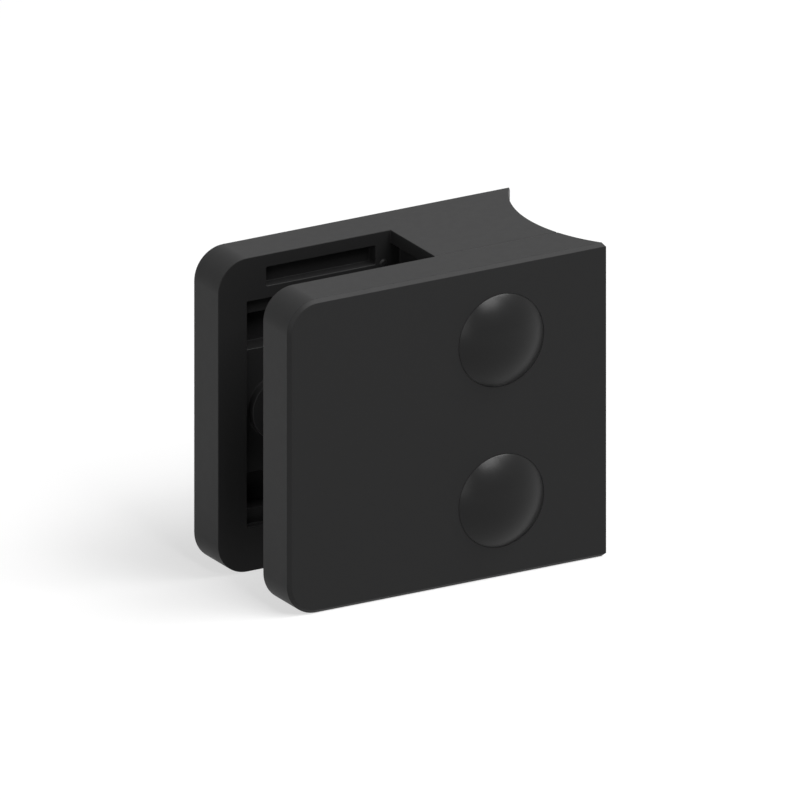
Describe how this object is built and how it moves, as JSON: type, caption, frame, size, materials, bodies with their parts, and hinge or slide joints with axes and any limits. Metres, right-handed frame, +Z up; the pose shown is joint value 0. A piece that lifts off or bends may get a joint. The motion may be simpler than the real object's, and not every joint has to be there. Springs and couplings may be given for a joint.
{
  "type": "glass panel clamp",
  "caption": "Square glass panel clamp with a saddle back for a round post, a two-plate slot for the glass and domed covers over its clamp screws.",
  "frame": {"origin": "where the post-screw bore's axis leaves the post saddle, at mid height", "axes": "+X along the post-screw bore into the post, -Y through the front plate, +Z up along the post"},
  "size_m": [0.0495, 0.0283, 0.045],
  "materials": {
    "casting": "matt black powder coat on a zinc casting",
    "screw_steel": "turned stainless steel",
    "cap_plastic": "satin black moulded plastic"
  },
  "bodies": {
    "rear_body": {"rear_body": "casting"},
    "front_plate": {"front_plate": "casting", "cover_cap_upper": "cap_plastic", "cover_cap_lower": "cap_plastic"},
    "upper_screw": {"clamp_screw_upper": "screw_steel"},
    "lower_screw": {"clamp_screw_lower": "screw_steel"}
  },
  "joints": [
    {"name": "front_plate_travel", "type": "slide", "parent": "rear_body", "child": "front_plate", "axis": [0, -1, 0], "range_m": [0, 0.004]},
    {"name": "upper_screw_turn", "type": "hinge", "parent": "front_plate", "child": "upper_screw", "pos_m": [-0.0119, -0.0084, 0.0115], "axis": [0, -1, 0], "range_deg": [0, 1440.1]},
    {"name": "lower_screw_turn", "type": "hinge", "parent": "front_plate", "child": "lower_screw", "pos_m": [-0.0119, -0.0084, -0.0115], "axis": [0, -1, 0], "range_deg": [0, 1440.1]}
  ],
  "couplings": [
    {"joint": "upper_screw_turn", "follows": "front_plate_travel", "rad_per_m": 6283.2},
    {"joint": "lower_screw_turn", "follows": "front_plate_travel", "rad_per_m": 6283.2}
  ]
}
